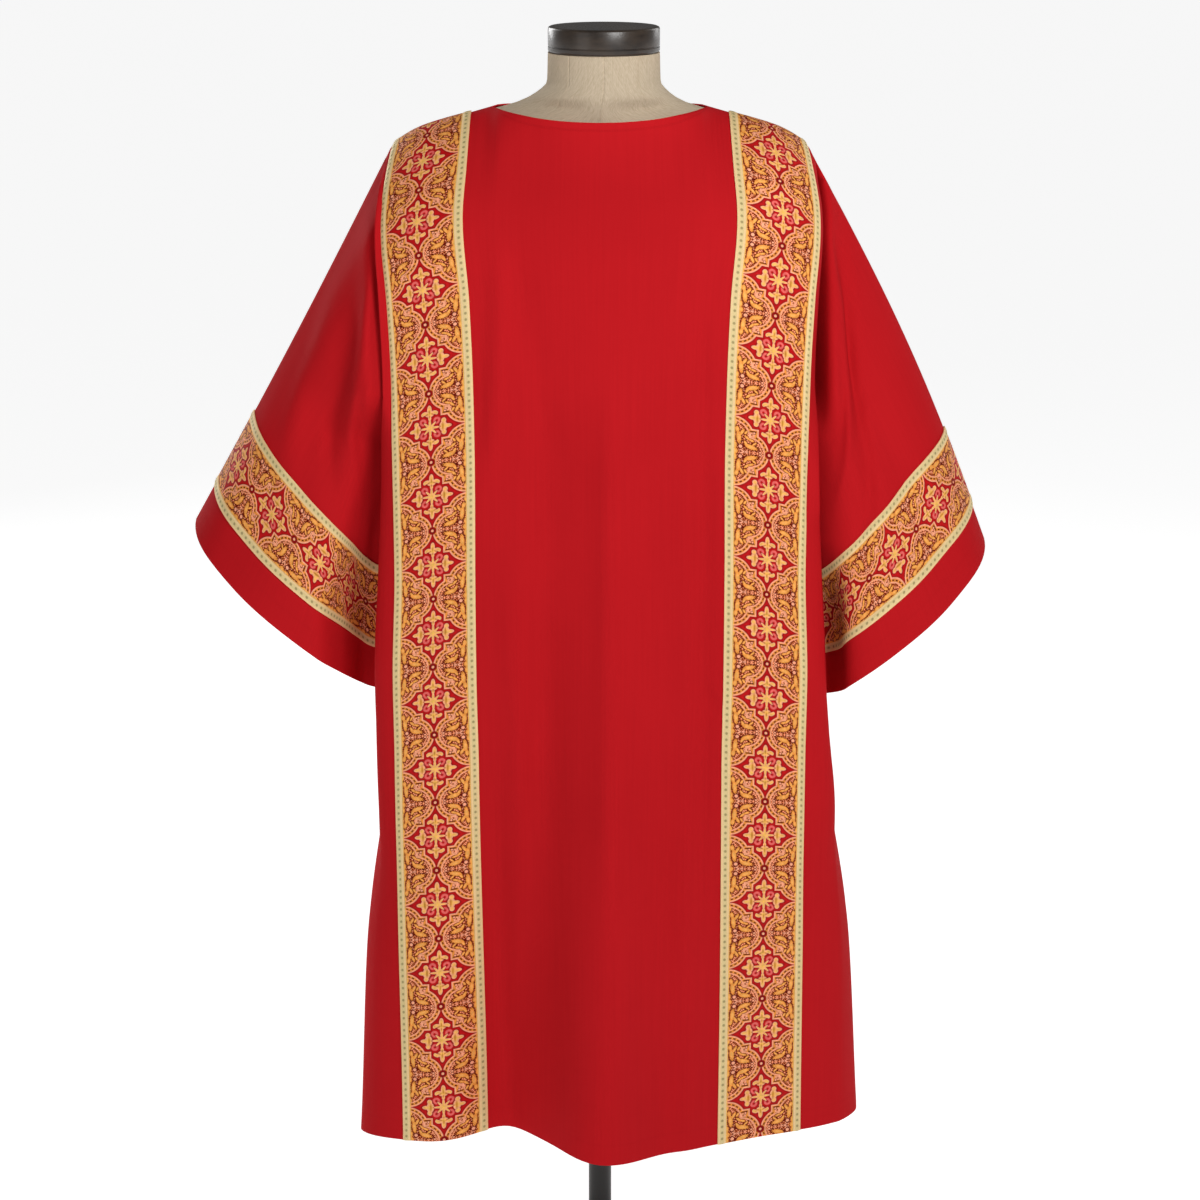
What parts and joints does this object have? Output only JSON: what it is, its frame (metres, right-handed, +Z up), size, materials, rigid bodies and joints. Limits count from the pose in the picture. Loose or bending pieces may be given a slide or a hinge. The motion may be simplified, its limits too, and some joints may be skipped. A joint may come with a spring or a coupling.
{
  "type": "dalmatic on a limbless dress form",
  "caption": "Wide-sleeved red dalmatic with brocade bands and gold braid, hanging open over a limbless linen dress form on a pole and round base.",
  "frame": {"origin": "on the floor, at the middle of the base's underside, under the pole", "axes": "+Z up, the garment's front faces -Y, the wearer's left is +X"},
  "size_m": [0.9455, 0.4011, 1.5538],
  "materials": {
    "red_cloth": "smooth plain-woven red cloth with a soft sheen",
    "brocade": "brocade of crosses, arcs and leaves in gold and salmon on deep red",
    "gold_braid": "narrow woven pale-gold braid with a fine dotted line along its middle",
    "linen": "plain-woven natural linen",
    "dark_wood": "dark-stained turned wood with a satin lacquer",
    "dark_metal": "satin dark paint on a steel tube"
  },
  "bodies": {
    "root": {"front_panel": "red_cloth", "back_panel": "red_cloth", "right_sleeve": "red_cloth", "left_sleeve": "red_cloth", "right_body_band": "brocade", "left_body_band": "brocade", "right_sleeve_band": "brocade", "left_sleeve_band": "brocade", "right_body_inner_braid": "gold_braid", "right_body_outer_braid": "gold_braid", "left_body_inner_braid": "gold_braid", "left_body_outer_braid": "gold_braid", "right_sleeve_lower_braid": "gold_braid", "right_sleeve_upper_braid": "gold_braid", "left_sleeve_lower_braid": "gold_braid", "left_sleeve_upper_braid": "gold_braid", "form_torso": "linen", "neck_cap": "dark_wood", "stand_base": "dark_wood", "stand_hub": "dark_wood", "stand_pole": "dark_metal"}
  },
  "joints": []
}
